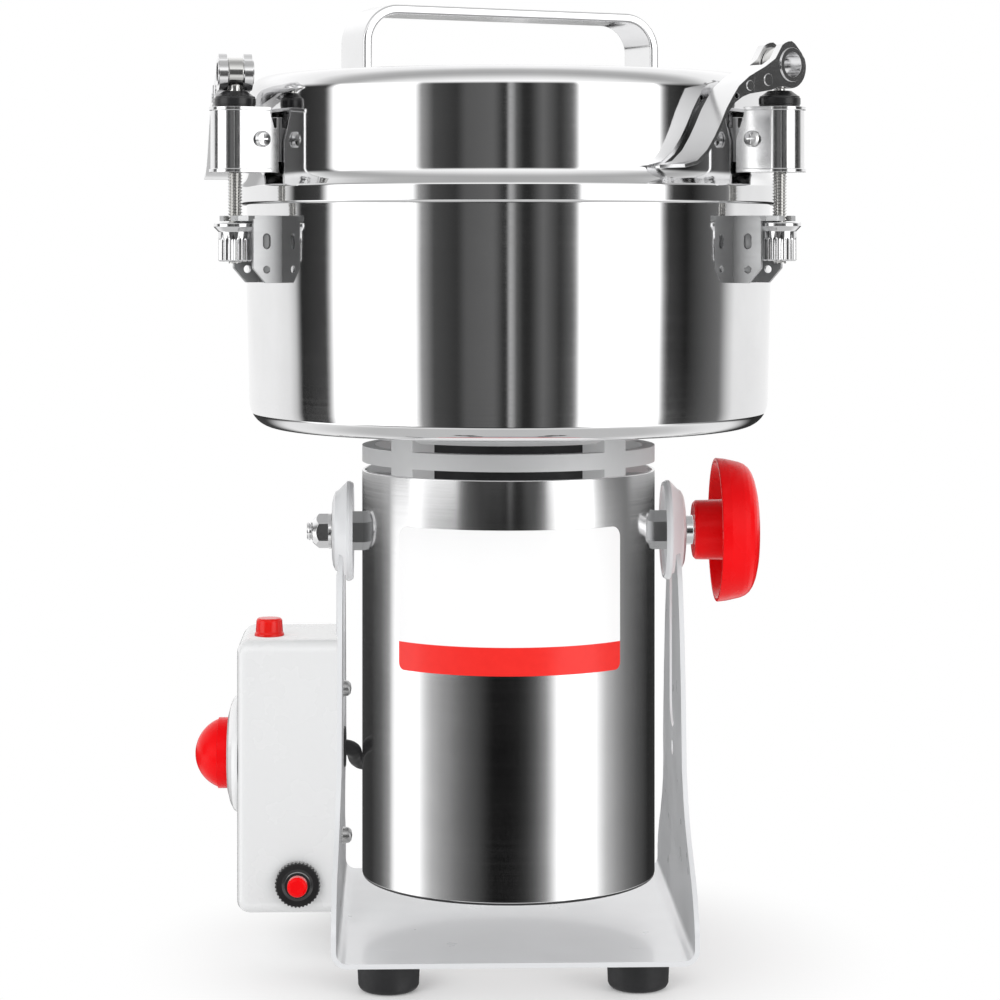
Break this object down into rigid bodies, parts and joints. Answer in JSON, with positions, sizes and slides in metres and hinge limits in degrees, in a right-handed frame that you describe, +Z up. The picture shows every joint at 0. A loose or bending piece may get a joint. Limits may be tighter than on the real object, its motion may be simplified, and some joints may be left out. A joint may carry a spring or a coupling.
{
  "type": "electric powder grinder",
  "caption": "Swing-type electric powder grinder: steel bowl and lid held by cam-lever swing clamps on a motor that tilts in a U-shaped cradle with a control box.",
  "frame": {"origin": "on the ground under the vertical motor axis, in the middle of the four feet", "axes": "+Z up, +X to the lock knob, -X to the control box, front with the label towards -Y, cord gland towards +Y"},
  "size_m": [0.253, 0.254, 0.404],
  "materials": {
    "painted_frame": "semi-gloss light grey enamel",
    "painted_box": "semi-gloss white enamel",
    "black_rubber": "matt",
    "screw_steel": "zinc plated",
    "white_plastic": "gloss",
    "black_plastic": "satin",
    "red_plastic": "gloss",
    "red_lens": "gloss, translucent",
    "polished_steel": "polished stainless steel",
    "satin_steel": "satin",
    "cast_aluminium": "machined casting",
    "core_steel": "varnished laminations",
    "copper": "enamelled copper",
    "brass": "plain",
    "silicone": "matt"
  },
  "bodies": {
    "frame": {"cradle": "painted_frame", "rubber_feet": "black_rubber", "frame_screws": "screw_steel", "control_box": "painted_box", "switch_bezel": "white_plastic", "switch_body": "black_plastic", "breaker_body": "black_plastic", "breaker_nut": "black_plastic", "indicator_lens": "red_lens", "cord_gland": "black_plastic", "lead_grommet": "black_rubber"},
    "power_button": {"power_button": "red_plastic"},
    "reset_button": {"reset_button": "red_plastic"},
    "tank": {"motor_sleeve": "polished_steel", "label_plate": "white_plastic", "bottom_cover": "black_plastic", "lower_end_bell": "cast_aluminium", "end_bell_screws": "screw_steel", "neck_casting": "cast_aluminium", "neck_collar": "black_rubber", "motor_bearings": "satin_steel", "stator_core": "core_steel", "field_coils": "copper", "brush_gear": "brass", "bowl": "polished_steel", "bowl_brackets": "satin_steel", "shaft_seal": "black_rubber", "trunnion_blocks": "satin_steel", "pivot_bolt": "polished_steel", "pivot_ring": "polished_steel", "hex_spacer": "polished_steel", "pivot_cap_nut": "polished_steel", "motor_lead": "black_rubber"},
    "lock_knob": {"lock_knob": "red_plastic", "knob_stud": "polished_steel"},
    "rotor": {"rotor_shaft": "satin_steel", "armature": "core_steel", "commutator": "copper", "cooling_fan": "black_plastic", "lower_blade": "satin_steel", "blade_spacer": "satin_steel", "upper_blade": "satin_steel", "blade_nut": "satin_steel"},
    "lid": {"lid_shell": "polished_steel", "lid_gasket": "silicone", "lid_handle": "polished_steel", "clamp_ears": "satin_steel", "ear_screws": "screw_steel"},
    "clamp_body_1": {"clamp_body_1": "polished_steel"},
    "clamp_rod_1": {"clamp_rod_1": "polished_steel"},
    "knurled_nut_1": {"knurled_nut_1": "polished_steel"},
    "cam_lever_1": {"cam_lever_1": "polished_steel"},
    "clamp_body_2": {"clamp_body_2": "polished_steel"},
    "clamp_rod_2": {"clamp_rod_2": "polished_steel"},
    "knurled_nut_2": {"knurled_nut_2": "polished_steel"},
    "cam_lever_2": {"cam_lever_2": "polished_steel"},
    "clamp_body_3": {"clamp_body_3": "polished_steel"},
    "clamp_rod_3": {"clamp_rod_3": "polished_steel"},
    "knurled_nut_3": {"knurled_nut_3": "polished_steel"},
    "cam_lever_3": {"cam_lever_3": "polished_steel"}
  },
  "joints": [
    {"name": "power_press", "type": "slide", "parent": "frame", "child": "power_button", "axis": [1, 0, 0], "range_m": [0, 0.0025], "stiffness_N_per_m": 400},
    {"name": "reset_press", "type": "slide", "parent": "frame", "child": "reset_button", "axis": [0, 1, 0], "range_m": [0, 0.002], "stiffness_N_per_m": 400},
    {"name": "tank_swing", "type": "hinge", "parent": "frame", "child": "tank", "pos_m": [0, 0, 0.1806], "axis": [1, 0, 0], "range_deg": [-90, 90], "deforming": ["motor_lead"]},
    {"name": "knob_turn", "type": "hinge", "parent": "tank", "child": "lock_knob", "pos_m": [0, 0, 0.1806], "axis": [1, 0, 0], "range_deg": [0, 360]},
    {"name": "rotor_spin", "type": "hinge", "parent": "tank", "child": "rotor", "pos_m": [0, 0, 0.15], "axis": [0, 0, 1], "continuous": true},
    {"name": "lid_lift", "type": "slide", "parent": "tank", "child": "lid", "axis": [0, 0, 1], "range_m": [0, 0.15]},
    {"name": "clamp_swing_1", "type": "hinge", "parent": "lid", "child": "clamp_body_1", "pos_m": [0.10171, -0.0648, 0.3465], "axis": [-0.5373, -0.8434, 0], "range_deg": [0, 16.75]},
    {"name": "rod_slide_1", "type": "slide", "parent": "clamp_body_1", "child": "clamp_rod_1", "axis": [0, 0, -1], "range_m": [0, 0.00186]},
    {"name": "lever_flip_1", "type": "hinge", "parent": "clamp_rod_1", "child": "cam_lever_1", "pos_m": [0.10795, -0.06877, 0.3765], "axis": [-0.6361, 0.7716, 0], "range_deg": [0, 140]},
    {"name": "nut_turn_1", "type": "hinge", "parent": "clamp_rod_1", "child": "knurled_nut_1", "pos_m": [0.10795, -0.06877, 0.305], "axis": [0, 0, 1], "range_deg": [-180, 180]},
    {"name": "clamp_swing_2", "type": "hinge", "parent": "lid", "child": "clamp_body_2", "pos_m": [-0.10697, -0.05569, 0.3465], "axis": [-0.4617, 0.887, 0], "range_deg": [0, 16.75]},
    {"name": "rod_slide_2", "type": "slide", "parent": "clamp_body_2", "child": "clamp_rod_2", "axis": [0, 0, -1], "range_m": [0, 0.00147]},
    {"name": "lever_flip_2", "type": "hinge", "parent": "clamp_rod_2", "child": "cam_lever_2", "pos_m": [-0.11354, -0.0591, 0.3739], "axis": [0.9863, 0.165, 0], "range_deg": [0, 140]},
    {"name": "nut_turn_2", "type": "hinge", "parent": "clamp_rod_2", "child": "knurled_nut_2", "pos_m": [-0.11354, -0.0591, 0.305], "axis": [0, 0, 1], "range_deg": [-180, 180]},
    {"name": "clamp_swing_3", "type": "hinge", "parent": "lid", "child": "clamp_body_3", "pos_m": [0.00526, 0.12048, 0.3465], "axis": [0.999, -0.0436, 0], "range_deg": [0, 16.75]},
    {"name": "rod_slide_3", "type": "slide", "parent": "clamp_body_3", "child": "clamp_rod_3", "axis": [0, 0, -1], "range_m": [0, 0.00186]},
    {"name": "lever_flip_3", "type": "hinge", "parent": "clamp_rod_3", "child": "cam_lever_3", "pos_m": [0.00558, 0.12788, 0.3765], "axis": [-0.3502, -0.9367, 0], "range_deg": [0, 140]},
    {"name": "nut_turn_3", "type": "hinge", "parent": "clamp_rod_3", "child": "knurled_nut_3", "pos_m": [0.00558, 0.12788, 0.305], "axis": [0, 0, 1], "range_deg": [-180, 180]}
  ],
  "couplings": [
    {"joint": "clamp_swing_1", "follows": "lever_flip_1", "ratio": 0.1195},
    {"joint": "rod_slide_1", "follows": "lever_flip_1", "m_per_rad": 0.00076},
    {"joint": "clamp_swing_2", "follows": "lever_flip_2", "ratio": 0.1195},
    {"joint": "rod_slide_2", "follows": "lever_flip_2", "m_per_rad": 0.0006},
    {"joint": "clamp_swing_3", "follows": "lever_flip_3", "ratio": 0.1195},
    {"joint": "rod_slide_3", "follows": "lever_flip_3", "m_per_rad": 0.00076}
  ]
}
